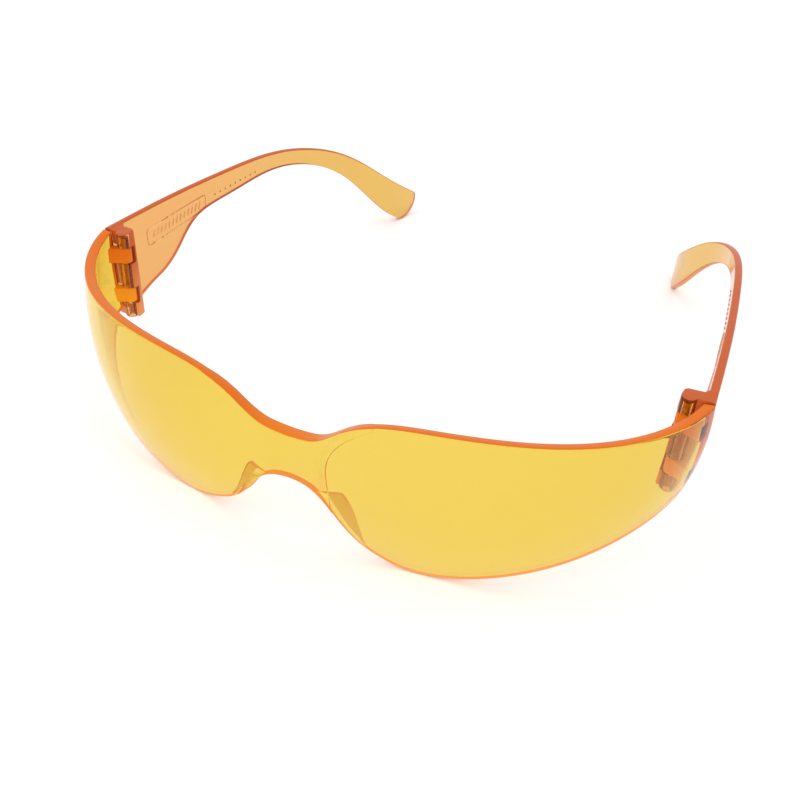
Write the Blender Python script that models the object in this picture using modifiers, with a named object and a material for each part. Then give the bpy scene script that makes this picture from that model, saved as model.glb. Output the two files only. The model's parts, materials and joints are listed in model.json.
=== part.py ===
"""Wraparound safety glasses: a one-piece amber lens shield and two folding temples on metal hinge pins.

Lengths are in millimetres until a vertex is made. X runs across the face, the front looks towards -Y and Z
is up.
"""

import math

import bmesh
import bpy
import numpy as np

MM = 0.001
NAME = "safety_glasses"
MID_DEPTH = 90.3  # depth of the middle of the open glasses, behind the front datum

# Lens shield. Its wrap is followed along the width from the bridge, and heights are above the table.
WRAP_RADIUS = 56.5
BRIDGE_TURN = math.radians(20.5)
BRIDGE_BLEND = 6.6
PROFILE_RADIUS = 66.0
PROFILE_CENTRE = 46.5
LEAN = math.radians(16.0)
WRAP_LENGTH = 90.0
END_DEPTH = 46.9  # both ends are cut square at this depth
END_TURN = math.radians(8.0)  # the last stretch turns in more tightly
END_TURN_FROM = 68.0
END_RAKE = 6.0  # the lower corner of the end lies this much further along
TOP_EDGE = ((0, 28.2), (6, 29.6), (12, 34.1), (18, 37.2), (30, 39.2), (50, 38.8), (70, 37.8), (90, 37.9))
BOTTOM_EDGE = (
    (0, 17.0), (3, 16.6), (6, 14.4), (9, 9.6), (12, 5.8), (18, 2.2), (24, 0.4), (31, -0.1), (50, 2.8),
    (70, 9.2), (84, 14.8), (96, 17.3),
)
LENS_THICKNESS = 2.3
LENS_TAPER = 0.4
PAD_FRONT = 0.4  # the bridge stands out from both faces of the optical zones
PAD_BACK = 0.5
PAD_STEP = 0.5
ZONE_NEAR = 8.0  # distance along the wrap at which each optical zone starts, at the bridge
ZONE_FAR = 18.5  # the same at the top of the zone
ZONE_LOW = 22.0
ZONE_TOP = 36.6
ZONE_SWEEP = 2.2  # how late the edge of the zone turns outwards on its way up
PAD_CELLS = 6
LENS_CELLS = 24
HEIGHT_CELLS = 13
EDGE_ROUNDING = 0.5

# Nose flanges, one turned back and outwards from the nose edge of each lobe. Positions are along the wrap.
FLANGE_FROM = 5.0
FLANGE_TO = 15.2
FLANGE_REACH = ((5, 5.0), (9, 3.7), (12, 2.1), (15.2, 0.5))
FLANGE_FLARE = (70.0, 38.0)  # degrees outwards from straight back, at the top and at the bottom
FLANGE_ROOT = (0.5, 1.1)  # the root lies this far above the lower edge and inside the face
FLANGE_THICKNESS = 1.5
FLANGE_FULL_REACH = 3.0  # a shorter stretch of the flange is thinner
FLANGE_TAPER = 0.8  # thickness of the free edge as a share of the root's
FLANGE_CELLS = 12

# Hinges. The pin stands upright; heights of the knuckles are above the table.
PIN_X = 66.9
PIN_Y = 47.4
PIN_RADIUS = 0.7
PIN_BOTTOM = 16.4
PIN_TOP = 36.6
BORE_RADIUS = 0.76
KNUCKLE_RADIUS = 1.6
BORE_BOTTOM = 8.0
ROUND_CELLS = 24
LENS_LUGS = ((19.8, 23.4), (30.4, 34.0))
LUG_WEB = (math.radians(-33.0), 4.2, 1.2)  # heading, reach from the pin and half width
LUG_ROUND = (math.radians(50.0), math.radians(260.0))  # the round side of a lug, counted from its web
LUG_CELLS = 14
CLEARANCE = 0.35
RELIEF_TO = (70.0, 48.6)  # the block is cut away for the webs as far as this corner
RELIEF_FROM = 44.0

# Temples: the outer face is followed backwards from the hinge, and each knot holds the inward turn in degrees.
TEMPLE_X = 72.0
TEMPLE_Y = 47.2
TEMPLE_LENGTH = 127.0
TEMPLE_THICKNESS = 1.8
TEMPLE_ROUNDING = 0.5
TEMPLE_TURN = ((0, 2.0), (22, 3.0), (44, 5.0), (66, 8.0), (85, 19.0), (100, 30.0), (115, 20.0), (131, 0.0))
TEMPLE_TOP = ((0, 38.0), (22, 37.9), (44, 37.3), (66, 36.0), (85, 32.2), (100, 26.1), (115, 15.8), (134, 4.2))
TEMPLE_BOTTOM = (
    (0, 15.3), (6, 16.7), (12, 18.4), (18, 19.8), (24, 23.1), (30, 27.7), (38, 29.9), (48, 30.4), (64, 31.1),
    (82, 28.0), (98, 19.5), (112, 6.0), (124, -1.7), (131, -5.0),
)
STRAP_LEAN = 1.6  # the lower edge of the front of the strap stands this far inwards
STRAP_LEAN_TO = 27.0
TIP_LEAN = 0.7
TIP_LEAN_FROM = 78.0
TIP_LEAN_OVER = 44.0
TIP_ROUNDING = 3.0
TIP_STEPS = (0.4, 0.75, 0.95, 1.0)
TEMPLE_CELLS = 44
FACE_CELLS = 4
BLOCK = (
    (71.6, 47.2), (65.4, 47.2), (65.3, 47.7), (65.5, 49.6), (66.2, 50.1), (69.2, 50.4), (70.6, 52.4),
    (71.6, 52.4),
)
BLOCK_OUTER = 70.0  # its points beyond this follow the strap
BLOCK_INNER = 66.0
BLOCK_SPREAD = 0.7  # the inner side of the block stands this much further in at the bottom
BLOCK_BOTTOM = 15.6
BLOCK_TOP = 37.9


def through(knots):
    """A natural cubic curve through the knots, as a function of the first coordinate."""
    at = np.array([k[0] for k in knots], float)
    value = np.array([k[1] for k in knots], float)
    step = np.diff(at)
    size = len(at)
    system = np.eye(size)
    right = np.zeros(size)
    for i in range(1, size - 1):
        system[i, i - 1] = step[i - 1]
        system[i, i] = 2 * (step[i - 1] + step[i])
        system[i, i + 1] = step[i]
        right[i] = 6 * ((value[i + 1] - value[i]) / step[i] - (value[i] - value[i - 1]) / step[i - 1])
    bend = np.linalg.solve(system, right)

    def curve(x):
        i = int(np.clip(np.searchsorted(at, x) - 1, 0, size - 2))
        a = (at[i + 1] - x) / step[i]
        b = 1 - a
        curved = ((a**3 - a) * bend[i] + (b**3 - b) * bend[i + 1]) * step[i] ** 2 / 6
        return float(a * value[i] + b * value[i + 1] + curved)

    return curve


top_edge = through(TOP_EDGE)
bottom_edge = through(BOTTOM_EDGE)


def turn_at(along):
    """Heading of the wrap in plan: an arc over each eye, a soft reversal at the bridge, a tighter end."""
    ending = max(0.0, along - END_TURN_FROM) / (WRAP_LENGTH - END_TURN_FROM)
    return along / WRAP_RADIUS - BRIDGE_TURN * math.tanh(along / BRIDGE_BLEND) + END_TURN * ending**2


def wrap_at(along):
    """Plan position of the lens face at a distance along the wrap."""
    steps = 60
    turns = [turn_at(along * i / steps) for i in range(steps + 1)]
    weights = [1] + [4, 2] * (steps // 2 - 1) + [4, 1]
    length = along / steps / 3
    return (
        length * sum(w * math.cos(t) for w, t in zip(weights, turns)),
        length * sum(w * math.sin(t) for w, t in zip(weights, turns)),
    )


def lens_point(along, height, depth=0.0):
    """Point of the lens face, or that far inside it along its normal."""
    x, y = wrap_at(along)
    turn = turn_at(along)
    z = height
    for _ in range(5):
        sag = PROFILE_RADIUS - math.sqrt(PROFILE_RADIUS**2 - (z - PROFILE_CENTRE) ** 2)
        z = (height + (y + sag * math.cos(turn)) * math.sin(LEAN)) / math.cos(LEAN)
    pitch = math.asin((z - PROFILE_CENTRE) / PROFILE_RADIUS)
    x += -sag * math.sin(turn) - depth * math.cos(pitch) * math.sin(turn)
    y += sag * math.cos(turn) + depth * math.cos(pitch) * math.cos(turn)
    z -= depth * math.sin(pitch)
    return np.array((x, y * math.cos(LEAN) + z * math.sin(LEAN), z * math.cos(LEAN) - y * math.sin(LEAN)))


def prism(outline, low, high):
    """Vertices and faces of an upright prism over a plan outline."""
    area = sum(a[0] * b[1] - b[0] * a[1] for a, b in zip(outline, outline[1:] + outline[:1]))
    ring = list(outline) if area > 0 else list(outline)[::-1]
    size = len(ring)
    points = [(x, y, z) for z in (low, high) for x, y in ring]
    faces = [tuple(range(size))[::-1], tuple(range(size, 2 * size))]
    faces += [(i, (i + 1) % size, size + (i + 1) % size, size + i) for i in range(size)]
    return points, faces


def loft_faces(rings, size):
    """Side quads and end faces of a loft through this many rings of this size."""
    faces = [tuple(range(size)), tuple((rings - 1) * size + i for i in range(size))[::-1]]
    for i in range(rings - 1):
        for k in range(size):
            a = i * size + k
            b = i * size + (k + 1) % size
            faces.append((a, a + size, b + size, b))
    return faces


def round_pin(radius):
    """Plan outline of a round about the hinge pin."""
    angles = [math.tau * i / ROUND_CELLS for i in range(ROUND_CELLS)]
    return [(PIN_X + radius * math.cos(angle), PIN_Y + radius * math.sin(angle)) for angle in angles]


def material(name, colour, roughness, metallic=0.0, alpha=1.0):
    made = bpy.data.materials.new(name)
    made.use_nodes = True
    shader = made.node_tree.nodes["Principled BSDF"]
    shader.inputs["Base Color"].default_value = (*colour, 1.0)
    shader.inputs["Roughness"].default_value = roughness
    shader.inputs["Metallic"].default_value = metallic
    shader.inputs["Alpha"].default_value = alpha
    return made


def solid(name, points, faces, collection, side=1, made_of=None, pivot=(0.0, MID_DEPTH)):
    """A mesh object from millimetre points, its origin over the pivot. Side -1 makes the mirror image."""
    origin = np.array((side * pivot[0], pivot[1] - MID_DEPTH, 0.0)) * MM
    placed = [np.array((side * p[0], p[1] - MID_DEPTH, p[2])) * MM - origin for p in points]
    turned = [f if side > 0 else f[:1] + f[:0:-1] for f in faces]
    mesh = bpy.data.meshes.new(name)
    mesh.from_pydata([tuple(p) for p in placed], [], turned)
    mesh.validate()
    made = bpy.data.objects.new(name, mesh)
    made.location = origin
    collection.objects.link(made)
    if made_of:
        mesh.materials.append(made_of)
    return made


def boolean(target, tool, operation):
    step = target.modifiers.new(f"{operation.lower()} {tool.name}", "BOOLEAN")
    step.operation = operation
    step.solver = "EXACT"
    step.object = tool


def bevel(target, width, segments, degrees):
    step = target.modifiers.new("rounding", "BEVEL")
    step.width = width * MM
    step.segments = segments
    step.limit_method = "ANGLE"
    step.angle_limit = math.radians(degrees)


def zone_edge(height):
    """Where the bridge pad ends, as a distance along the wrap."""
    rise = min(max((height - ZONE_LOW) / (ZONE_TOP - ZONE_LOW), 0.0), 1.0)
    return ZONE_NEAR + (ZONE_FAR - ZONE_NEAR) * rise**ZONE_SWEEP


def lens_column(column, part):
    """Distance along the wrap, height and whether the pad covers it, for a grid point.

    Part runs from 0 at the lower edge to 1 at the top edge.
    """
    rake = END_RAKE * (1 - part)
    height = 20.0
    for _ in range(40):
        edge = zone_edge(height)
        if column <= PAD_CELLS:
            along = edge * column / PAD_CELLS
        else:
            share = ((column - PAD_CELLS - 1) / LENS_CELLS) ** 1.3
            along = edge + PAD_STEP + (WRAP_LENGTH + rake - edge - PAD_STEP) * share
        low = bottom_edge(along)
        height = low + (top_edge(min(along, WRAP_LENGTH)) - low) * part
    return along, height, column <= PAD_CELLS


def lens_shell():
    """The curved shield as a closed grid, without its flanges and lugs."""
    last = PAD_CELLS + 1 + LENS_CELLS
    rows = HEIGHT_CELLS + 1
    points = []
    for back in (False, True):
        for column in range(-last, last + 1):
            for row in range(rows):
                part = row / HEIGHT_CELLS
                along, height, padded = lens_column(abs(column), part)
                if back:
                    depth = LENS_THICKNESS - LENS_TAPER * (1 - part) ** 2 + (PAD_BACK if padded else 0.0)
                else:
                    depth = -PAD_FRONT if padded else 0.0
                p = lens_point(along, height, depth)
                points.append((math.copysign(1, column) * p[0] if column else 0.0, p[1], p[2]))
    layer = (2 * last + 1) * rows
    faces = []
    for column in range(2 * last):
        for row in range(HEIGHT_CELLS):
            a = column * rows + row
            faces.append((a, a + rows, a + rows + 1, a + 1))
            faces.append((layer + a, layer + a + 1, layer + a + rows + 1, layer + a + rows))
        for row, turned in ((0, False), (HEIGHT_CELLS, True)):
            a = column * rows + row
            quad = (a, layer + a, layer + a + rows, a + rows)
            faces.append(quad[::-1] if turned else quad)
    for column, turned in ((0, False), (2 * last, True)):
        for row in range(HEIGHT_CELLS):
            a = column * rows + row
            quad = (a, a + 1, layer + a + 1, layer + a)
            faces.append(quad[::-1] if turned else quad)
    return points, faces


flange_reach = through(FLANGE_REACH)


def flange():
    """Nose flange of the +X lobe: a strip rooted inside the nose edge, tapering to nothing down the lobe."""
    points = []
    for i in range(FLANGE_CELLS + 1):
        part = i / FLANGE_CELLS
        along = FLANGE_FROM + (FLANGE_TO - FLANGE_FROM) * part
        root, ahead, behind = (
            lens_point(place, bottom_edge(place) + FLANGE_ROOT[0], FLANGE_ROOT[1])
            for place in (along, along + 0.5, along - 0.5)
        )
        flare = math.radians(FLANGE_FLARE[0] + (FLANGE_FLARE[1] - FLANGE_FLARE[0]) * part)
        outward = np.array((math.sin(flare), math.cos(flare), 0.0))
        reach = flange_reach(along)
        across = np.cross(ahead - behind, outward)
        across *= math.copysign(1, across[1]) / np.linalg.norm(across)
        across *= FLANGE_THICKNESS * (0.45 + 0.55 * min(reach / FLANGE_FULL_REACH, 1.0))
        free = root + reach * outward
        points += [root, root + across, free + across * FLANGE_TAPER, free]
    return points, loft_faces(FLANGE_CELLS + 1, 4)


def lug_outline():
    """Plan outline of a hinge lug: round about the pin, with a web that runs into the end of the lens."""
    web, reach, half = LUG_WEB
    outline = []
    for i in range(LUG_CELLS + 1):
        angle = web + LUG_ROUND[0] + LUG_ROUND[1] * i / LUG_CELLS
        outline.append((PIN_X + KNUCKLE_RADIUS * math.cos(angle), PIN_Y + KNUCKLE_RADIUS * math.sin(angle)))
    for across in (-half, half):
        x = PIN_X + reach * math.cos(web) - across * math.sin(web)
        y = PIN_Y + reach * math.sin(web) + across * math.cos(web)
        outline.append((x, y))
    return outline


temple_turn = through(TEMPLE_TURN)
temple_top = through(TEMPLE_TOP)
temple_bottom = through(TEMPLE_BOTTOM)


def temple_at(along):
    """Plan position of the temple's outer face and its inward turn."""
    steps = 40
    turns = [math.radians(temple_turn(along * i / steps)) for i in range(steps + 1)]
    weights = [1] + [4, 2] * (steps // 2 - 1) + [4, 1]
    length = along / steps / 3
    x = TEMPLE_X - length * sum(w * math.sin(t) for w, t in zip(weights, turns))
    y = TEMPLE_Y + length * sum(w * math.cos(t) for w, t in zip(weights, turns))
    return x, y, turns[-1]


def strap_lean(station, part):
    """How far inwards the strap stands at a part of its height, from 0 at the lower edge to 1 at the top."""
    return STRAP_LEAN * max(0.0, 1 - station / STRAP_LEAN_TO) * (1 - part)


def strap_section(low, top):
    """Inward offset and height of each point round one section of the strap, with its corners cut."""
    r = TEMPLE_ROUNDING
    t = TEMPLE_THICKNESS
    middle = [low + (top - low) * i / FACE_CELLS for i in range(1, FACE_CELLS)]
    heights = [low + r, *middle, top - r]
    outer = [(0.0, z) for z in heights]
    inner = [(t, z) for z in reversed(heights)]
    return outer + [(r, top), (t - r, top)] + inner + [(t - r, low), (r, low)]


def temple_strap():
    """The strap as a loft of upright sections, which lean forward at the top towards the tip."""
    end_zone = TEMPLE_LENGTH - TIP_ROUNDING
    stations = [end_zone * i / TEMPLE_CELLS for i in range(TEMPLE_CELLS + 1)]
    stations += [end_zone + TIP_ROUNDING * q for q in TIP_STEPS]
    points = []
    for station in stations:
        lean = TIP_LEAN * min(max((station - TIP_LEAN_FROM) / TIP_LEAN_OVER, 0.0), 1.0) ** 1.5
        tall = temple_top(station) - temple_bottom(station)
        high_at = station + lean * tall / 2
        low_at = station - lean * tall / 2
        q = max(0.0, (station - end_zone) / TIP_ROUNDING)
        inset = TIP_ROUNDING * (1 - math.sqrt(max(0.0, 1 - q * q)))
        top = temple_top(high_at)
        low = temple_bottom(low_at)
        for inward, height in strap_section(low + inset, top - inset):
            part = (height - low) / (top - low)
            inward += strap_lean(station, part)
            x, y, turn = temple_at(low_at + (high_at - low_at) * part)
            points.append((x - inward * math.cos(turn), y - inward * math.sin(turn), height))
    return points, loft_faces(len(stations), len(points) // len(stations))


def hinge_block():
    """The block turned in from the front of the strap: its outer side leans with the strap."""
    points, faces = prism(list(BLOCK), BLOCK_BOTTOM, BLOCK_TOP)
    leaning = []
    for x, y, z in points:
        part = (z - TEMPLE_BOTTOM[0][1]) / (TEMPLE_TOP[0][1] - TEMPLE_BOTTOM[0][1])
        if x > BLOCK_OUTER:
            x -= strap_lean(y - TEMPLE_Y, part)
        elif x < BLOCK_INNER:
            x -= BLOCK_SPREAD * (1 - part)
        leaning.append((x, y, z))
    return leaning, faces


def clear_scene():
    for made in list(bpy.data.objects):
        bpy.data.objects.remove(made, do_unlink=True)


def make_collections():
    """The collection of the glasses and the hidden one of the shapes that are joined to them or cut away."""
    shown = bpy.data.collections.new(NAME)
    helpers = bpy.data.collections.new("cutters")
    for collection in (shown, helpers):
        bpy.context.scene.collection.children.link(collection)
    helpers.hide_render = True
    return shown, helpers


def helper(name, shape, side, helpers):
    made = solid(name, *shape, helpers, side)
    made.hide_render = True
    made.display_type = "WIRE"
    return made


def finish_lens_end(lens, side, word, bore, helpers):
    """Cuts one end of the shield square and adds its flange, its lugs and the bore through them."""
    behind = [(60, END_DEPTH), (80, END_DEPTH), (80, 60), (60, 60)]
    boolean(lens, helper(f"end_{word}", prism(behind, -5, 50), side, helpers), "DIFFERENCE")
    boolean(lens, helper(f"nose_flange_{word}", flange(), side, helpers), "UNION")
    for number, (low, high) in enumerate(LENS_LUGS):
        lug = helper(f"lug_{word}_{number}", prism(lug_outline(), low, high), side, helpers)
        boolean(lens, lug, "UNION")
    boolean(lens, bore, "DIFFERENCE")


def make_temple(side, word, bore, shown, helpers, looks):
    temple = solid(f"temple_{word}", *temple_strap(), shown, side, looks, (PIN_X, PIN_Y))
    boolean(temple, helper(f"block_{word}", hinge_block(), side, helpers), "UNION")
    barrel = prism(round_pin(KNUCKLE_RADIUS), BLOCK_BOTTOM, BLOCK_TOP)
    boolean(temple, helper(f"barrel_{word}", barrel, side, helpers), "UNION")
    notch = round_pin(KNUCKLE_RADIUS + 2 * CLEARANCE)
    far_x, far_y = RELIEF_TO
    relief = [(PIN_X, RELIEF_FROM), (far_x, RELIEF_FROM), (far_x, far_y), (PIN_X, far_y)]
    for number, (low, high) in enumerate(LENS_LUGS):
        for name, outline in (("notch", notch), ("relief", relief)):
            room = prism(outline, low - CLEARANCE, high + CLEARANCE)
            boolean(temple, helper(f"{name}_{word}_{number}", room, side, helpers), "DIFFERENCE")
    boolean(temple, bore, "DIFFERENCE")


def make_pin(side, word, shown, looks):
    shape = prism(round_pin(PIN_RADIUS), PIN_BOTTOM, PIN_TOP)
    pin = solid(f"hinge_pin_{word}", *shape, shown, side, looks, (PIN_X, PIN_Y))
    bevel(pin, 0.2, 1, 60)


def build():
    clear_scene()
    shown, helpers = make_collections()
    amber = material("amber_lens", (0.93, 0.60, 0.08), 0.06, alpha=0.45)
    peach = material("peach_temple", (0.85, 0.40, 0.18), 0.12, alpha=0.7)
    steel = material("pin_steel", (0.55, 0.50, 0.45), 0.3, metallic=1.0)
    lens = solid("lens_shield", *lens_shell(), shown, made_of=amber)
    bevel(lens, EDGE_ROUNDING, 2, 50)
    for side, word in ((1, "left"), (-1, "right")):
        hole = prism(round_pin(BORE_RADIUS), BORE_BOTTOM, PIN_TOP + 0.2)
        bore = helper(f"bore_{word}", hole, side, helpers)
        finish_lens_end(lens, side, word, bore, helpers)
        make_temple(side, word, bore, shown, helpers, peach)
        make_pin(side, word, shown, steel)


build()
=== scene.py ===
"""Looks for the wraparound safety glasses: amber shield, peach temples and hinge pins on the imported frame.

Shapes are worked out in millimetres. X runs across the face, the front looks towards -Y and Z is up.
"""

import json
import math

import bmesh
import bpy
import numpy as np
from mathutils import Matrix, Vector


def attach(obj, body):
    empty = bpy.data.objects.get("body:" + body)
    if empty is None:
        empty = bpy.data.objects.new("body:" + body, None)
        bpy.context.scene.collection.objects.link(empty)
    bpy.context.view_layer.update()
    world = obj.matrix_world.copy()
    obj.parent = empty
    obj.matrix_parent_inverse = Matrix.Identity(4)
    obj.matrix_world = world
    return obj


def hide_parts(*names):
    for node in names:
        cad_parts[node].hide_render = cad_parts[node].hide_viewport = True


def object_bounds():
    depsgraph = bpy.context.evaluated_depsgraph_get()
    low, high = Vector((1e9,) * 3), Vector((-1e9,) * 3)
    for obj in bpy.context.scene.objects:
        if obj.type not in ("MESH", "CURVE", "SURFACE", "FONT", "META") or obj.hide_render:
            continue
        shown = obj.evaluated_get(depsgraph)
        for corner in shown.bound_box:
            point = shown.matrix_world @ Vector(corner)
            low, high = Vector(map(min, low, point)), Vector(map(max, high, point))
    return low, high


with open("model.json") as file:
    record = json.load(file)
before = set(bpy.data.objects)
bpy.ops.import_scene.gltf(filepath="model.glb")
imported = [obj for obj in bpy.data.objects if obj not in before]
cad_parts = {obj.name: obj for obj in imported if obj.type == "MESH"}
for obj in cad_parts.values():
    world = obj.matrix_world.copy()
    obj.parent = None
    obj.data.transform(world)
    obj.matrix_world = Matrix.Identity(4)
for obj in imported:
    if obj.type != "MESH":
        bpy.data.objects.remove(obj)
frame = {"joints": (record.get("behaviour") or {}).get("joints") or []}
CAD_BOX = [list(corner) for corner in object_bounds()]

MM = 0.001

# Lens shield, as in the part's source. Its wrap is followed along the width from the bridge, and heights are
# above the table.
WRAP_RADIUS = 56.5
BRIDGE_TURN = math.radians(20.5)
BRIDGE_BLEND = 6.6
PROFILE_RADIUS = 66.0
PROFILE_CENTRE = 46.5
LEAN = math.radians(16.0)
WRAP_LENGTH = 90.0
END_DEPTH = 46.9  # both ends are cut square at this depth
END_TURN = math.radians(8.0)  # the last stretch turns in more tightly
END_TURN_FROM = 68.0
END_BETWEEN = (70.0, 99.0)  # the end plane cuts the wrap somewhere between these
WRAP_SAMPLES = 8001
WRAP_SAMPLED_TO = 100.0
TOP_EDGE = ((0, 28.2), (6, 29.6), (12, 34.1), (18, 37.2), (30, 39.2), (50, 38.8), (70, 37.8), (90, 37.9))
BOTTOM_EDGE = (
    (0, 17.0), (3, 16.6), (6, 14.4), (9, 9.6), (12, 5.8), (18, 2.2), (24, 0.4), (31, -0.1), (50, 2.8),
    (70, 9.2), (84, 14.8), (96, 17.3),
)
LENS_THICKNESS = 2.3
LENS_TAPER = 0.4
PAD_FRONT = 0.4  # the bridge stands out from both faces of the optical zones
PAD_BACK = 0.5
ZONE_NEAR = 8.0  # distance along the wrap at which each optical zone starts, at the bridge
ZONE_FAR = 18.5  # the same at the top of the zone
ZONE_LOW = 22.0
ZONE_TOP = 36.6
ZONE_SWEEP = 2.2  # how late the edge of the zone turns outwards on its way up
RIM_RADIUS = 0.45
# The faces in RIM_BAND carry the painted edge glow.
RIM_BAND = (2, 6)  # of the eight faces round an edge, counted back from its end, the ones with the rim's look

# Nose flanges, one turned back and outwards from the nose edge of each lobe.
FLANGE_FROM = 5.0
FLANGE_TO = 15.2
FLANGE_REACH = ((5, 5.0), (9, 3.7), (12, 2.1), (15.2, 0.5))
FLANGE_FLARE = (70.0, 38.0)  # degrees outwards from straight back, at the top and at the bottom
FLANGE_ROOT = (0.5, 1.1)  # the root lies this far above the lower edge and inside the face
FLANGE_THICKNESS = 1.5
FLANGE_THINNEST = 0.45
FLANGE_FULL_REACH = 3.0  # a shorter stretch of the flange is thinner
FLANGE_TAPER = 0.8  # thickness of the free edge as a share of the root's
FLANGE_ROUNDING = 0.35
FLANGE_ROWS = 40
FLANGE_RIM = (*range(1, 4 * FLANGE_ROWS, 4), 4 * FLANGE_ROWS, 4 * FLANGE_ROWS + 1)

# Hinges. The pin stands upright.
PIN_X = 66.9
PIN_Y = 47.4
PIN_RADIUS = 0.7
PIN_BOTTOM = 16.4
PIN_TOP = 36.6
PIN_PROFILE = (  # how far inside the pin's radius, and at what height
    (0.2, PIN_BOTTOM), (0.0, PIN_BOTTOM + 0.25), (0.0, PIN_TOP - 2.4), (0.08, PIN_TOP - 2.3),
    (0.08, PIN_TOP - 2.1), (0.0, PIN_TOP - 2.0), (0.0, PIN_TOP - 0.3), (0.1, PIN_TOP - 0.1), (0.3, PIN_TOP),
)
PIN_CORNERS = 40
KNURL = (PIN_TOP - 2.0, PIN_TOP - 0.3)
KNURL_DEPTH = 0.05
BORE_RADIUS = 0.76
BORE = (8.0, PIN_TOP + 0.2)
KNUCKLE_RADIUS = 1.6
LENS_LUGS = ((19.8, 23.4), (30.4, 34.0))
LUG_WEB = (math.radians(-33), 4.2, 1.2)  # heading, reach from the pin and half width
LUG_ROUND = (50, 260)  # degrees: the round side of a lug, counted from its web
LUG_CORNERS = 33
LUG_FACES = range(LUG_CORNERS + 4)
LUG_ROUNDING = 0.2
CLEARANCE = 0.35
RELIEF_FROM = 44.0
RELIEF_TO = (70.0, 48.6)  # the block is cut away for the webs as far as this corner

# Temples. The outer face is followed backwards from the hinge, and TEMPLE_TURN is its inward turn in degrees.
TEMPLE_X = 72.0
TEMPLE_Y = 47.2
TEMPLE_LENGTH = 127.0
TEMPLE_THICKNESS = 1.8
TEMPLE_TURN = ((0, 2.0), (22, 3.0), (44, 5.0), (66, 8.0), (85, 19.0), (100, 30.0), (115, 20.0), (131, 0.0))
TEMPLE_TOP = ((0, 38.0), (22, 37.9), (44, 37.3), (66, 36.0), (85, 32.2), (100, 26.1), (115, 15.8), (134, 4.2))
TEMPLE_BOTTOM = (
    (0, 15.3), (6, 16.7), (12, 18.4), (18, 19.8), (24, 23.1), (30, 27.7), (38, 29.9), (48, 30.4), (64, 31.1),
    (82, 28.0), (98, 19.5), (112, 6.0), (124, -1.7), (131, -5.0),
)
STRAP_LEAN = 1.6  # the lower edge of the front of the strap stands this far inwards
STRAP_LEAN_TO = 27.0
TIP_LEAN = 0.7
TIP_LEAN_FROM = 78
TIP_LEAN_OVER = 44
TIP_LEAN_CURVE = 1.5
TIP_ROUNDING = 3.0
BLOCK = (
    (71.6, 47.2), (65.4, 47.2), (65.3, 47.7), (65.5, 49.6), (66.2, 50.1), (69.2, 50.4), (70.6, 52.4),
    (71.6, 52.4),
)
BLOCK_OUTER = 70.0  # its points beyond this follow the strap
BLOCK_INNER = 66.0
BLOCK_SPREAD = 0.7  # the inner side of the block stands this much further in at the bottom
BLOCK_BOTTOM = 15.6
BLOCK_TOP = 37.9
BLOCK_FACES = range(len(BLOCK) + 2)
BLOCK_ROUNDING = 0.22
ROUND_CORNERS = 48
BARREL_CAPS = (ROUND_CORNERS, ROUND_CORNERS + 1)

# Raised mark on the inner face of each temple: a rounded frame with slanted ribs in it, and a row of dots.
MARK_MIDDLE = (23.7, 31.35)
MARK_HALF = (11.9, 2.15)
MARK_CORNER = 0.9
MARK_SLOPE = 0.045
MARK_HEIGHT = 0.16
MARK_WITHIN = (10.0, 60.0)  # stretch of the strap with rings fine enough for the mark
FRAME_WIDTH = 0.22
RIB_PITCH = 1.55
RIB_SLANT = 0.35
RIB_WIDTH = 0.24
RIB_FIELD = (9.4, 0.85)
RIB_FADE = 0.2
DOT_MIDDLE = (48.5, 32.9)
DOT_SLOPE = 0.03
DOT_PITCH = 2.2
DOT_RADIUS = 0.42
DOTS_EACH_WAY = 4

# Rounding of cutters and added blocks, and the angles in degrees above which an edge stays sharp.
ROUNDING_SEGMENTS = 3
ROUNDING_ANGLE = 40
MOULDED_SHARP = 38
PIN_SHARP = 35

# The part's frame has its origin under the middle of the glasses; the pins give the offset in depth.
PIN_AT = Vector(frame["joints"][0]["pos_m"])
MID_DEPTH = PIN_Y - PIN_AT.y / MM

# Turns of the searches that settle a height under the lean, a height between the edges and the end plane, the
# height that the second one starts from, and the step either way at which a direction is taken.
LEAN_TURNS = 6
HEIGHT_TURNS = 40
END_TURNS = 28
FIRST_HEIGHT = 20.0
NEARBY = 0.5


# ---------------------------------------------------------------- curves

def through(knots):
    """A natural cubic curve through the knots, which takes numbers or arrays."""
    at, value = np.array(knots, float).T
    step = np.diff(at)
    size = len(at)
    system = np.eye(size)
    right = np.zeros(size)
    for i in range(1, size - 1):
        system[i, i - 1 : i + 2] = step[i - 1], 2 * (step[i - 1] + step[i]), step[i]
        right[i] = 6 * ((value[i + 1] - value[i]) / step[i] - (value[i] - value[i - 1]) / step[i - 1])
    bend = np.linalg.solve(system, right)

    def curve(x):
        i = np.clip(np.searchsorted(at, x) - 1, 0, size - 2)
        a = (at[i + 1] - x) / step[i]
        b = 1 - a
        bent = (a**3 - a) * bend[i] + (b**3 - b) * bend[i + 1]
        return a * value[i] + b * value[i + 1] + bent * step[i] ** 2 / 6

    return curve


def running(values, step):
    """Running integral of evenly spaced values, from zero."""
    return np.concatenate(([0.0], np.cumsum((values[1:] + values[:-1]) / 2) * step))


top_edge = through(TOP_EDGE)
bottom_edge = through(BOTTOM_EDGE)


def wrap_turn(along):
    ending = np.maximum(0.0, along - END_TURN_FROM) / (WRAP_LENGTH - END_TURN_FROM)
    return along / WRAP_RADIUS - BRIDGE_TURN * np.tanh(along / BRIDGE_BLEND) + END_TURN * ending**2


ALONG = np.linspace(0.0, WRAP_SAMPLED_TO, WRAP_SAMPLES)
WRAP_X = running(np.cos(wrap_turn(ALONG)), ALONG[1])
WRAP_Y = running(np.sin(wrap_turn(ALONG)), ALONG[1])


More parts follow.
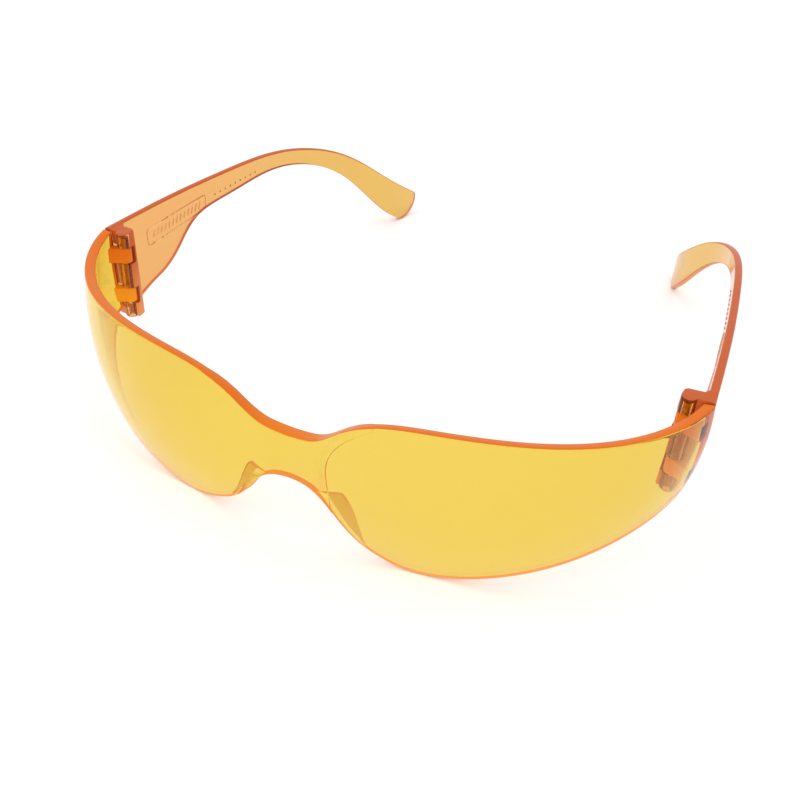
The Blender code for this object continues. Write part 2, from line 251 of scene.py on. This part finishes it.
def lens_points(along, height, depth):
    """Points of the lens face, or that far inside it along its normal, as an array of XYZ rows."""
    along, height, depth = np.broadcast_arrays(along, height, depth)
    x = np.interp(along, ALONG, WRAP_X)
    y = np.interp(along, ALONG, WRAP_Y)
    turn = wrap_turn(along)
    z = height
    for _ in range(LEAN_TURNS):
        sag = PROFILE_RADIUS - np.sqrt(PROFILE_RADIUS**2 - (z - PROFILE_CENTRE) ** 2)
        z = (height + (y + sag * np.cos(turn)) * math.sin(LEAN)) / math.cos(LEAN)
    pitch = np.arcsin((z - PROFILE_CENTRE) / PROFILE_RADIUS)
    out = sag + depth * np.cos(pitch)
    x = x - out * np.sin(turn)
    y = y + out * np.cos(turn)
    z = z - depth * np.sin(pitch)
    return np.stack((x, y * math.cos(LEAN) + z * math.sin(LEAN), z * math.cos(LEAN) - y * math.sin(LEAN)), -1)


# ---------------------------------------------------------------- mesh helpers

def mesh_object(name, points, faces, side=1, slots=2):
    """A mesh object from millimetre points with empty material slots, mirrored in X if side is -1."""
    placed = (np.asarray(points, float) - (0.0, MID_DEPTH, 0.0)) * (side * MM, MM, MM)
    mesh = bpy.data.meshes.new(name)
    mesh.from_pydata([tuple(p) for p in placed], [], faces)
    for _ in range(slots):
        mesh.materials.append(None)
    made = bpy.data.objects.new(name, mesh)
    bpy.context.scene.collection.objects.link(made)
    tidy = bmesh.new()
    tidy.from_mesh(mesh)
    bmesh.ops.recalc_face_normals(tidy, faces=tidy.faces)
    tidy.to_mesh(mesh)
    tidy.free()
    return made


def bevel(target, width):
    step = target.modifiers.new("rounding", "BEVEL")
    step.width = width * MM
    step.segments = ROUNDING_SEGMENTS
    step.limit_method = "ANGLE"
    step.angle_limit = math.radians(ROUNDING_ANGLE)


def boolean(target, tool, operation):
    step = target.modifiers.new(operation.lower(), "BOOLEAN")
    step.operation = operation
    step.solver = "EXACT"
    step.object = tool


def shade(mesh, sharp_degrees):
    mesh.shade_smooth()
    mesh.set_sharp_from_angle(angle=math.radians(sharp_degrees))


def settle(target, helpers):
    """Applies the target's modifiers, removes its helpers and shades it smooth."""
    graph = bpy.context.evaluated_depsgraph_get()
    made = bpy.data.meshes.new_from_object(target.evaluated_get(graph))
    target.modifiers.clear()
    target.data = made
    for tool in helpers:
        bpy.data.objects.remove(tool, do_unlink=True)
    shade(made, MOULDED_SHARP)


def ring_faces(rings, size):
    """Quads between neighbouring rings of one size."""
    i = np.arange(rings - 1)[:, None] * size
    k = np.arange(size)[None, :]
    after = (k + 1) % size
    quads = np.stack((i + k, i + size + k, i + size + after, i + after), -1)
    return [tuple(int(v) for v in quad) for quad in quads.reshape(-1, 4)]


def loft(rings):
    """Points and faces of a closed loft through an array of rings, with flat ends."""
    count, size = rings.shape[:2]
    faces = ring_faces(count, size)
    faces.append(tuple(range(size)))
    faces.append(tuple(range((count - 1) * size, count * size)))
    return rings.reshape(-1, 3), faces


def prism(outline, low, high):
    plan = np.array(outline, float)
    rings = np.stack([np.column_stack((plan, np.full(len(plan), z))) for z in (low, high)])
    return loft(rings)


def round_pin(radius, angles):
    """Plan points on a circle round the pin."""
    return PIN_X + radius * np.cos(angles), PIN_Y + radius * np.sin(angles)


def round_prism(radius, low, high):
    angles = np.arange(ROUND_CORNERS) * math.tau / ROUND_CORNERS
    return prism(list(zip(*round_pin(radius, angles))), low, high)


def rim_faces(target, rings, size, end_rings=0):
    """Gives the rim its own material slot, for the painted edge glow: the edge bands of a loft from rings of
    this size, and its ends.

    Each half of a ring is one face of the piece and the round edge after it.
    """
    number = np.arange(len(target.data.polygons))
    half = size // 2
    ring = number // size
    place = half - number % half
    in_band = (place >= RIM_BAND[0]) & (place <= RIM_BAND[1])
    on_rim = in_band | (ring < end_rings) | (ring >= rings - 1 - end_rings)
    target.data.polygons.foreach_set("material_index", on_rim.astype(np.int32))


def marked_faces(target, marked):
    """Gives the rim's slot, with its painted edge glow, to the faces of a loft that lie on marked points."""
    on_mark = marked[:-1] & marked[1:] & np.roll(marked[:-1], -1, axis=1)
    for number in np.flatnonzero(on_mark):
        target.data.polygons[int(number)].material_index = 1


def cutter(shape, side, rounding=0.0, rim=()):
    """A helper, in which the numbered faces carry the rim's slot."""
    made = mesh_object("helper", *shape, side)
    made.hide_render = True
    for number in rim:
        made.data.polygons[number].material_index = 1
    if rounding:
        bevel(made, rounding)
    return made


# ---------------------------------------------------------------- lens shield

# Rows run up the shield and columns along it.
SHIELD_ROWS = 64
PAD_COLUMNS = 26
PAD_BLEND = 4.0
STEP_HEIGHT = 0.15  # what is left of the bridge's front pad where an optical zone starts
STEP_COLUMNS = 3
STEP_WIDTH = 0.12
ZONE_COLUMNS = 150
ZONE_CROWDING = 1.15
END_COLUMNS = 5
LEAST_ROUNDING = 0.05
ARC = np.radians((22.5, 45.0, 67.5, 90.0))
ARC_BACK = slice(len(ARC) - 2, None, -1)  # the same arc on its way down, without its crown


def shield_section(inset=0.0):
    """One closed section of the shield: share of height, offset in height, back or front, offset in depth."""
    radius = max(RIM_RADIUS - inset, LEAST_ROUNDING)
    rows = np.linspace(0, 1, SHIELD_ROWS + 1)
    side = np.ones(len(rows))
    climb = np.ones(len(ARC))
    fall = climb[ARC_BACK]
    up = inset + radius
    rise = radius * np.sin(ARC)
    push = radius * (1 - np.cos(ARC))
    share = (rows, climb, fall, rows[::-1], 0 * climb, 0 * fall)
    lift = (
        up * (1 - 2 * rows), rise - up, rise[ARC_BACK] - up,
        up * (1 - 2 * rows[::-1]), up - rise, up - rise[ARC_BACK],
    )
    back = (0 * side, 0 * climb, fall, side, climb, 0 * fall)
    deep = (
        inset * side, inset + push, -inset - push[ARC_BACK],
        -inset * side, -inset - push, inset + push[ARC_BACK],
    )
    return [np.concatenate(part) for part in (share, lift, back, deep)]


def zone_edge(height):
    rise = np.clip((height - ZONE_LOW) / (ZONE_TOP - ZONE_LOW), 0.0, 1.0)
    return ZONE_NEAR + (ZONE_FAR - ZONE_NEAR) * rise**ZONE_SWEEP


def column_ring(place, pads, section):
    """Points of one section. From the height, place gives the distance along the wrap and pads both pads."""
    share, lift, back, deep = section
    height = np.full(len(share), FIRST_HEIGHT)
    for _ in range(HEIGHT_TURNS):
        along = place(height)
        low = bottom_edge(along)
        top = top_edge(np.minimum(along, WRAP_LENGTH))
        height = low + (top - low) * share + lift
    front_pad, back_pad = pads(height)
    thickness = LENS_THICKNESS - LENS_TAPER * (1 - share) ** 2
    depth = back * (thickness + back_pad) - (1 - back) * front_pad + deep
    return lens_points(along, height, depth)


def no_pads(height):
    return 0.0, 0.0


def bridge_column(part, section):
    """Section at a part of the way from the middle to the edge of the optical zone."""

    def pads(height):
        inside = np.clip(zone_edge(height) * (1 - part) / PAD_BLEND, 0.0, 1.0)
        rise = inside**2 * (3 - 2 * inside)
        return STEP_HEIGHT + (PAD_FRONT - STEP_HEIGHT) * rise, PAD_BACK * rise

    return column_ring(lambda height: zone_edge(height) * part, pads, section)


def step_column(part, section):
    """Section across the narrow step at the edge of the optical zone."""
    pads = (STEP_HEIGHT * (0.5 + 0.5 * math.cos(math.pi * part)), 0.0)
    return column_ring(lambda height: zone_edge(height) + STEP_WIDTH * part, lambda height: pads, section)


def shield_rings():
    """Rings from the middle to the cut end of the +X half."""
    section = shield_section()
    rings = [bridge_column(i / PAD_COLUMNS, section) for i in range(PAD_COLUMNS + 1)]
    rings += [step_column(i / STEP_COLUMNS, section) for i in range(1, STEP_COLUMNS + 1)]

    def end_place(this_section, depth_limit):
        """Distance along the wrap at which every point of a section meets the end plane."""
        near, far = (np.full(len(this_section[0]), limit) for limit in END_BETWEEN)
        for _ in range(END_TURNS):
            middle = (near + far) / 2
            y = column_ring(lambda h: middle, no_pads, this_section)[:, 1]
            near = np.where(y < depth_limit, middle, near)
            far = np.where(y < depth_limit, far, middle)
        return (near + far) / 2

    last = end_place(section, END_DEPTH - RIM_RADIUS)
    for i in range(1, ZONE_COLUMNS + 1):
        part = (i / ZONE_COLUMNS) ** ZONE_CROWDING
        rings.append(
            column_ring(lambda h: (zone_edge(h) + STEP_WIDTH) * (1 - part) + last * part, no_pads, section)
        )
    for i in range(1, END_COLUMNS + 1):
        angle = math.radians(90 * i / END_COLUMNS)
        inset = RIM_RADIUS * (1 - math.cos(angle))
        this_section = shield_section(inset)
        place = end_place(this_section, END_DEPTH - RIM_RADIUS * (1 - math.sin(angle)))
        rings.append(column_ring(lambda h: place, no_pads, this_section))
    return np.stack(rings)


flange_reach = through(FLANGE_REACH)


def flange_shape():
    """Nose flange of the +X lobe: a rounded strip turned back and outwards, which tapers down the lobe."""
    part = np.linspace(0, 1, FLANGE_ROWS + 1)
    along = FLANGE_FROM + (FLANGE_TO - FLANGE_FROM) * part
    root, ahead, behind = (
        lens_points(place, bottom_edge(place) + FLANGE_ROOT[0], FLANGE_ROOT[1])
        for place in (along, along + NEARBY, along - NEARBY)
    )
    flare = np.radians(FLANGE_FLARE[0] + (FLANGE_FLARE[1] - FLANGE_FLARE[0]) * part)
    outward = np.stack((np.sin(flare), np.cos(flare), np.zeros_like(flare)), -1)
    reach = flange_reach(along)
    across = np.cross(ahead - behind, outward)
    across *= (np.sign(across[:, 1]) / np.linalg.norm(across, axis=1))[:, None]
    fullness = np.minimum(reach / FLANGE_FULL_REACH, 1.0)
    across *= (FLANGE_THICKNESS * (FLANGE_THINNEST + (1 - FLANGE_THINNEST) * fullness))[:, None]
    free = root + reach[:, None] * outward
    return loft(np.stack((root, free, free + across * FLANGE_TAPER, root + across), 1))


def lug_outline():
    """Plan of a lug: round the pin, with a straight web that runs into the lens."""
    web, reach, half = LUG_WEB
    start, sweep = LUG_ROUND
    angles = web + np.radians(start + sweep * np.arange(LUG_CORNERS) / (LUG_CORNERS - 1))
    outline = list(zip(*round_pin(KNUCKLE_RADIUS, angles)))
    for across in (-half, half):
        outline.append(
            (
                PIN_X + reach * math.cos(web) - across * math.sin(web),
                PIN_Y + reach * math.sin(web) + across * math.cos(web),
            )
        )
    return outline


def make_shield():
    half = shield_rings()
    half[0, :, 0] = 0.0
    mirrored = half[:0:-1] * (-1.0, 1.0, 1.0)
    points, faces = loft(np.concatenate((mirrored, half)))
    shield = mesh_object("shield_glazing", points, faces)
    rim_faces(shield, 2 * len(half) - 1, half.shape[1], END_COLUMNS)
    helpers = []
    for side in (1, -1):
        flange = cutter(flange_shape(), side, FLANGE_ROUNDING, FLANGE_RIM)
        boolean(shield, flange, "UNION")
        helpers.append(flange)
        for low, high in LENS_LUGS:
            lug = cutter(prism(lug_outline(), low, high), side, LUG_ROUNDING, LUG_FACES)
            boolean(shield, lug, "UNION")
            helpers.append(lug)
        bore = cutter(round_prism(BORE_RADIUS, *BORE), side)
        boolean(shield, bore, "DIFFERENCE")
        helpers.append(bore)
    settle(shield, helpers)
    return shield


# ---------------------------------------------------------------- temples

temple_turn = through(TEMPLE_TURN)
temple_top = through(TEMPLE_TOP)
temple_bottom = through(TEMPLE_BOTTOM)
STRAP_SAMPLES = 5601
STRAP_SAMPLED_TO = 140.0
STATION = np.linspace(0.0, STRAP_SAMPLED_TO, STRAP_SAMPLES)
HEADING = np.radians(temple_turn(STATION))
STRAP_X = TEMPLE_X - running(np.sin(HEADING), STATION[1])
STRAP_Y = TEMPLE_Y + running(np.cos(HEADING), STATION[1])
STRAP_ROUNDING = 0.45
STRAP_STEP = 0.7
MARK_STEP = 0.17
REAR_RINGS = 90
TIP_RINGS = 12
TIP_ANGLES = (8, 88)
FACE_ROWS = 70
RIDGE_TOP = 1.35  # a ridge is at its full height up to 0.35 of its width from its middle
DOT_TOP = 1.4


def raised(distance, width, top=RIDGE_TOP):
    """Share of the mark's height at a distance from a line this wide, which is flat on top and slopes off."""
    return np.clip(top - distance / width, 0, 1)


def ridge(along, height):
    """Height of the raised mark on the inner face."""
    x = along - MARK_MIDDLE[0]
    z = height - MARK_MIDDLE[1] - MARK_SLOPE * x
    past_x = np.abs(x) - MARK_HALF[0] + MARK_CORNER
    past_z = np.abs(z) - MARK_HALF[1] + MARK_CORNER
    outside = np.hypot(np.maximum(past_x, 0), np.maximum(past_z, 0))
    to_frame = outside + np.minimum(np.maximum(past_x, past_z), 0) - MARK_CORNER
    slanted = x - RIB_SLANT * z
    to_rib = np.abs(slanted - RIB_PITCH * np.round(slanted / RIB_PITCH))
    in_field = raised(np.abs(z) - RIB_FIELD[1], RIB_FADE) * raised(np.abs(slanted) - RIB_FIELD[0], RIB_FADE)
    dx = along - DOT_MIDDLE[0]
    dz = height - DOT_MIDDLE[1] - DOT_SLOPE * dx
    number = np.clip(np.round(dx / DOT_PITCH), -DOTS_EACH_WAY, DOTS_EACH_WAY)
    dots = raised(np.hypot(dx - DOT_PITCH * number, dz), DOT_RADIUS, DOT_TOP)
    lines = np.maximum(raised(np.abs(to_frame), FRAME_WIDTH), raised(to_rib, RIB_WIDTH) * in_field)
    return MARK_HEIGHT * np.maximum(lines, dots)


def strap_lean(station, part):
    """How far inwards the strap stands at a part of its height, from 0 at the lower edge to 1 at the top."""
    return STRAP_LEAN * np.maximum(0.0, 1 - station / STRAP_LEAN_TO) * (1 - part)


def temple_rings():
    """Rings of the strap, and for each point whether the raised mark covers it."""
    tip_from = TEMPLE_LENGTH - TIP_ROUNDING
    front = np.arange(0.0, MARK_WITHIN[0], STRAP_STEP)
    marked = np.arange(*MARK_WITHIN, MARK_STEP)
    rear = np.linspace(MARK_WITHIN[1], tip_from, REAR_RINGS)
    tip = TEMPLE_LENGTH - TIP_ROUNDING * (1 - np.sin(np.radians(np.linspace(*TIP_ANGLES, TIP_RINGS))))
    rings = []
    marks = []
    rows = np.linspace(0, 1, FACE_ROWS + 1)
    side = np.ones(len(rows))
    inner = slice(len(rows) + 2 * len(ARC) - 1, 2 * len(rows) + 2 * len(ARC) - 1)
    bow = STRAP_ROUNDING * (1 - np.cos(ARC))
    climb = STRAP_ROUNDING * np.sin(ARC)
    r = STRAP_ROUNDING
    for station in np.concatenate((front, marked, rear, tip)):
        lean = TIP_LEAN * min(max((station - TIP_LEAN_FROM) / TIP_LEAN_OVER, 0.0), 1.0) ** TIP_LEAN_CURVE
        tall = float(temple_top(station) - temple_bottom(station))
        high_at = station + lean * tall / 2
        low_at = station - lean * tall / 2
        past = max(0.0, (station - tip_from) / TIP_ROUNDING)
        inset = TIP_ROUNDING * (1 - math.sqrt(max(0.0, 1 - past * past)))
        high_edge = float(temple_top(high_at))
        low_edge = float(temple_bottom(low_at))
        top = high_edge - inset
        low = low_edge + inset
        height = np.concatenate(
            (
                low + r + (top - low - 2 * r) * rows, top - r + climb, top - r + climb[ARC_BACK],
                low + r + (top - low - 2 * r) * rows[::-1], low + r - climb, low + r - climb[ARC_BACK],
            )
        )
        inward = np.concatenate(
            (
                0 * side, bow, TEMPLE_THICKNESS - bow[ARC_BACK],
                TEMPLE_THICKNESS * side, TEMPLE_THICKNESS - bow, bow[ARC_BACK],
            )
        )
        part = (height - low_edge) / (high_edge - low_edge)
        along = low_at + (high_at - low_at) * part
        inward += strap_lean(station, part)
        mark = np.zeros(len(height))
        mark[inner] = ridge(along[inner], height[inner])
        inward += mark
        turn = np.radians(temple_turn(along))
        x = np.interp(along, STATION, STRAP_X) - inward * np.cos(turn)
        y = np.interp(along, STATION, STRAP_Y) - inward * np.sin(turn)
        rings.append(np.column_stack((x, y, height)))
        marks.append(mark > 0.5 * MARK_HEIGHT)
    return np.stack(rings), np.stack(marks)


def hinge_block():
    """Block turned in from the front of the strap. Its outer side leans as the strap does."""
    points, faces = prism(BLOCK, BLOCK_BOTTOM, BLOCK_TOP)
    x, y, z = points.T
    part = (z - TEMPLE_BOTTOM[0][1]) / (TEMPLE_TOP[0][1] - TEMPLE_BOTTOM[0][1])
    inner_lean = np.where(x < BLOCK_INNER, BLOCK_SPREAD * (1 - part), 0.0)
    x -= np.where(x > BLOCK_OUTER, strap_lean(y - TEMPLE_Y, part), inner_lean)
    return points, faces


def make_temple(word, side, rings, marks):
    temple = mesh_object(f"temple_arm_{word}", *loft(rings), side)
    rim_faces(temple, len(rings), rings.shape[1])
    marked_faces(temple, marks)
    helpers = []
    barrel = round_prism(KNUCKLE_RADIUS, BLOCK_BOTTOM, BLOCK_TOP)
    for shape, rim in ((hinge_block(), BLOCK_FACES), (barrel, BARREL_CAPS)):
        helpers.append(cutter(shape, side, BLOCK_ROUNDING, rim))
        boolean(temple, helpers[-1], "UNION")
    relief_x, relief_y = RELIEF_TO
    relief = [(PIN_X, RELIEF_FROM), (relief_x, RELIEF_FROM), (relief_x, relief_y), (PIN_X, relief_y)]
    holes = []
    for low, high in LENS_LUGS:
        span = (low - CLEARANCE, high + CLEARANCE)
        holes += [round_prism(KNUCKLE_RADIUS + 2 * CLEARANCE, *span), prism(relief, *span)]
    holes.append(round_prism(BORE_RADIUS, *BORE))
    for hole in holes:
        helpers.append(cutter(hole, side))
        boolean(temple, helpers[-1], "DIFFERENCE")
    settle(temple, helpers)
    return temple


def make_pin(word, side):
    """Turned pin with a chamfered lower end, a groove, a knurled band near the top and a rounded head."""
    angles = np.arange(PIN_CORNERS) * math.tau / PIN_CORNERS
    rings = []
    for inset, z in PIN_PROFILE:
        in_knurl = KNURL[0] <= z <= KNURL[1]
        knurl = 1.0 - KNURL_DEPTH * (np.arange(PIN_CORNERS) % 2) * in_knurl
        x, y = round_pin((PIN_RADIUS - inset) * knurl, angles)
        rings.append(np.column_stack((x, y, np.full(PIN_CORNERS, z))))
    pin = mesh_object(f"hinge_pin_metal_{word}", *loft(np.stack(rings)), side, 1)
    shade(pin.data, PIN_SHARP)
    return pin


# ---------------------------------------------------------------- materials

def new_material(name):
    made = bpy.data.materials.new(name)
    made.use_nodes = True
    made.node_tree.nodes.clear()
    return made, made.node_tree.nodes, made.node_tree.links


def add(nodes, kind, **values):
    made = nodes.new(kind)
    for key, value in values.items():
        if key in made.inputs:
            made.inputs[key].default_value = value
        else:
            setattr(made, key, value)
    return made


def noise(nodes, links, scale, detail=3.0):
    """Noise over the object's own coordinates, which are in metres."""
    place = nodes.new("ShaderNodeTexCoord")
    made = add(nodes, "ShaderNodeTexNoise", Scale=scale, Detail=detail)
    links.new(place.outputs["Object"], made.inputs["Vector"])
    return made


def tint(nodes, links, shader, source, low, high, start=0.35, end=0.65):
    """Base colour that runs from low to high as the source goes from start to end."""
    made = nodes.new("ShaderNodeValToRGB")
    made.color_ramp.elements[0].position = start
    made.color_ramp.elements[0].color = low
    made.color_ramp.elements[1].position = end
    made.color_ramp.elements[1].color = high
    links.new(source, made.inputs["Fac"])
    links.new(made.outputs["Color"], shader.inputs["Base Color"])


def roughen(nodes, links, shader, source, low, high):
    """Roughness that runs from low to high as the source goes from 0 to 1."""
    ranged = nodes.new("ShaderNodeMapRange")
    ranged.inputs["To Min"].default_value = low
    ranged.inputs["To Max"].default_value = high
    links.new(source, ranged.inputs["Value"])
    links.new(ranged.outputs["Result"], shader.inputs["Roughness"])


def place_along(nodes, links, axis, scale, amount):
    """The object's own coordinate along an axis in metres, with an amount of noise on it."""
    place = nodes.new("ShaderNodeTexCoord")
    parts = nodes.new("ShaderNodeSeparateXYZ")
    links.new(place.outputs["Object"], parts.inputs["Vector"])
    made = add(nodes, "ShaderNodeMath", operation="MULTIPLY_ADD")
    made.inputs[1].default_value = amount
    links.new(noise(nodes, links, scale).outputs["Fac"], made.inputs[0])
    links.new(parts.outputs[axis], made.inputs[2])
    return made.outputs["Value"]


def to_output(nodes, links, surface):
    output = nodes.new("ShaderNodeOutputMaterial")
    links.new(surface, output.inputs["Surface"])
    return output


def moulded_grain(nodes, links, shader, roughness):
    """The fine unevenness that every moulded face has."""
    fine = noise(nodes, links, scale=420.0, detail=4.0)
    roughen(nodes, links, shader, fine.outputs["Fac"], *roughness)


def clear_plastic(name, front_tint, back_tint, absorption, roughness):
    """Moulded see-through plastic: tinted at its faces, deeper along thick paths, and open to lamplight.

    The tint drifts to its second colour towards the back of the glasses.
    """
    made, nodes, links = new_material(name)
    shader = add(nodes, "ShaderNodeBsdfPrincipled", IOR=1.38, **{"Transmission Weight": 1.0})
    depth = place_along(nodes, links, "Y", scale=38.0, amount=0.025)
    tint(nodes, links, shader, depth, front_tint, back_tint, start=0.0, end=0.08)
    moulded_grain(nodes, links, shader, roughness)
    swell = noise(nodes, links, scale=90.0, detail=1.0)
    bump = add(nodes, "ShaderNodeBump", Strength=0.05, Distance=0.0002)
    links.new(swell.outputs["Fac"], bump.inputs["Height"])
    links.new(bump.outputs["Normal"], shader.inputs["Normal"])
    open_side = nodes.new("ShaderNodeBsdfTransparent")
    open_side.inputs["Color"].default_value = (1.0, 0.998, 0.99, 1)
    rays = nodes.new("ShaderNodeLightPath")
    surface = shader.outputs["BSDF"]
    for kind in ("Is Shadow Ray", "Is Diffuse Ray"):
        mix = nodes.new("ShaderNodeMixShader")
        links.new(rays.outputs[kind], mix.inputs["Fac"])
        links.new(surface, mix.inputs[1])
        links.new(open_side.outputs["BSDF"], mix.inputs[2])
        surface = mix.outputs["Shader"]
    inside = nodes.new("ShaderNodeVolumeAbsorption")
    strongest = max(absorption)
    kept = (1 - part / strongest * DEEPEST for part in absorption)
    inside.inputs["Color"].default_value = (*kept, 1.0)
    inside.inputs["Density"].default_value = strongest / DEEPEST
    output = to_output(nodes, links, surface)
    links.new(inside.outputs["Volume"], output.inputs["Volume"])
    return made


def painted_edge_glow(name, low, high, roughness):
    """The moulded edges, drawn opaque: the plastic's own orange seen along a long path, with the glow of the
    light led along inside it painted into the colour, and painted lighter low down to lift the bottom edges
    seen through the tinted glass.
    """
    made, nodes, links = new_material(name)
    shader = add(nodes, "ShaderNodeBsdfPrincipled", IOR=1.5, **{"Specular IOR Level": 0.12})
    # Painted light: lighter low down, deeper at the top, for how the edges show through the tinted glass.
    height = place_along(nodes, links, "Z", scale=120.0, amount=0.006)
    tint(nodes, links, shader, height, low, high, start=0.018, end=0.034)
    moulded_grain(nodes, links, shader, roughness)
    to_output(nodes, links, shader.outputs["BSDF"])
    return made


def pin_metal():
    made, nodes, links = new_material("pin_steel_turned")
    shader = add(nodes, "ShaderNodeBsdfPrincipled", Metallic=1.0)
    grain = noise(nodes, links, scale=900.0, detail=5.0)
    tint(nodes, links, shader, grain.outputs["Fac"], (0.62, 0.56, 0.48, 1), (0.80, 0.75, 0.68, 1))
    roughen(nodes, links, shader, grain.outputs["Fac"], 0.24, 0.42)
    to_output(nodes, links, shader.outputs["BSDF"])
    return made


# The clear plastics absorb this much per metre in red, green and blue. DEEPEST is how far the volume's colour
# goes towards black in the channel that is absorbed most.
AMBER_ABSORPTION = (2.0, 12.0, 80.0)
PEACH_ABSORPTION = (4.0, 25.0, 70.0)
DEEPEST = 0.98

AMBER = clear_plastic(
    "amber_polycarbonate", (0.822, 0.612, 0.102, 1), (0.836, 0.636, 0.124, 1), AMBER_ABSORPTION, (0.0, 0.03)
)
# Painted glow: an opaque orange that stands in for light led along inside the amber edges.
AMBER_RIM_GLOW = painted_edge_glow(
    "amber_edge_painted_glow", (0.90, 0.340, 0.012, 1), (0.67, 0.140, 0.004, 1), (0.26, 0.40)
)
PEACH = clear_plastic(
    "peach_polycarbonate", (0.810, 0.425, 0.135, 1), (0.775, 0.500, 0.120, 1), PEACH_ABSORPTION, (0.05, 0.12)
)
# Painted glow, as above, for the peach edges, the hinge blocks and the raised marks.
PEACH_RIM_GLOW = painted_edge_glow(
    "peach_edge_painted_glow", (0.74, 0.270, 0.085, 1), (0.50, 0.095, 0.020, 1), (0.24, 0.38)
)
STEEL = pin_metal()


# ---------------------------------------------------------------- pieces

def finish_piece(piece, looks, body, node):
    for number, look in enumerate(looks):
        piece.data.materials[number] = look
    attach(piece, body)
    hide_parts(node)


finish_piece(make_shield(), (AMBER, AMBER_RIM_GLOW), "shield", "lens_shield")
STRAP = temple_rings()
for SIDE, WORD in ((1, "left"), (-1, "right")):
    TEMPLE = make_temple(WORD, SIDE, *STRAP)
    finish_piece(TEMPLE, (PEACH, PEACH_RIM_GLOW), f"{WORD}_temple", f"temple_{WORD}")
    finish_piece(make_pin(WORD, SIDE), (STEEL,), "shield", f"hinge_pin_{WORD}")


# ---------------------------------------------------------------- stage

FLOOR_HALF = 3.0
FLOOR_GAP = 0.00005
WORLD_STRENGTH = 1.05


def make_floor():
    mesh = bpy.data.meshes.new("floor")
    plan = bmesh.new()
    bmesh.ops.create_grid(plan, x_segments=8, y_segments=8, size=FLOOR_HALF)
    plan.to_mesh(mesh)
    plan.free()
    floor = bpy.data.objects.new("floor", mesh)
    floor.location.z = CAD_BOX[0][2] - FLOOR_GAP
    bpy.context.scene.collection.objects.link(floor)
    made, nodes, links = new_material("pale_floor")
    shader = add(nodes, "ShaderNodeBsdfPrincipled", Roughness=0.9, **{"Specular IOR Level": 0.1})
    soft = noise(nodes, links, scale=3.0)
    tint(nodes, links, shader, soft.outputs["Fac"], (0.90, 0.90, 0.90, 1), (0.92, 0.92, 0.92, 1))
    to_output(nodes, links, shader.outputs["BSDF"])
    mesh.materials.append(made)


def make_light(name, where, towards, size, power):
    data = bpy.data.lights.new(name, "AREA")
    data.shape = "SQUARE"
    data.size = size
    data.energy = power
    lamp = bpy.data.objects.new(name, data)
    lamp.location = where
    lamp.rotation_euler = (Vector(towards) - Vector(where)).to_track_quat("-Z", "Y").to_euler()
    bpy.context.scene.collection.objects.link(lamp)


def make_world():
    world = bpy.data.worlds.new("studio")
    bpy.context.scene.world = world
    world.use_nodes = True
    background = world.node_tree.nodes["Background"]
    background.inputs["Color"].default_value = (1, 1, 1, 1)
    background.inputs["Strength"].default_value = WORLD_STRENGTH


# Camera: angles round the glasses, and the target, the distance and the clipping in metres.
CAMERA_AZIMUTH = math.radians(22.979)
CAMERA_ELEVATION = math.radians(35.671)
CAMERA_ROLL = math.radians(3.887)
CAMERA_DISTANCE = 0.220
CAMERA_TARGET = Vector((0.00523, -0.03907, 0.01249))
CAMERA_LENS = 42.99
CAMERA_CLIP = (0.01, 20.0)


def make_camera():
    level = math.cos(CAMERA_ELEVATION)
    back = Vector((
        math.sin(CAMERA_AZIMUTH) * level, -math.cos(CAMERA_AZIMUTH) * level, math.sin(CAMERA_ELEVATION)
    ))
    right = Vector((math.cos(CAMERA_AZIMUTH), math.sin(CAMERA_AZIMUTH), 0.0))
    up = back.cross(right)
    across = right * math.cos(CAMERA_ROLL) + up * math.sin(CAMERA_ROLL)
    upward = up * math.cos(CAMERA_ROLL) - right * math.sin(CAMERA_ROLL)
    data = bpy.data.cameras.new("camera")
    data.sensor_width = 36.0
    data.lens = CAMERA_LENS
    data.clip_start, data.clip_end = CAMERA_CLIP
    camera = bpy.data.objects.new("camera", data)
    place = CAMERA_TARGET + back * CAMERA_DISTANCE
    camera.matrix_world = Matrix.Translation(place) @ Matrix((across, upward, back)).transposed().to_4x4()
    bpy.context.scene.collection.objects.link(camera)
    bpy.context.scene.camera = camera


make_floor()
make_world()
make_light("overhead", where=(0.1, -0.1, 0.9), towards=(0, 0, 0), size=1.2, power=1.7)
make_light("front_left", where=(-0.6, -0.7, 0.6), towards=(0, 0, 0.02), size=0.7, power=1.0)
make_camera()
bpy.context.scene.view_settings.view_transform = "Standard"

# Light is led along inside the clear plastic, so it needs long paths. Its shadow rays already carry the light
# that reaches the floor through it, so the slower way there is closed.
PATHS = bpy.context.scene.cycles
PATHS.caustics_reflective = False
PATHS.caustics_refractive = False
PATHS.max_bounces = 32
PATHS.glossy_bounces = 32
PATHS.transmission_bounces = 32
PATHS.transparent_max_bounces = 16
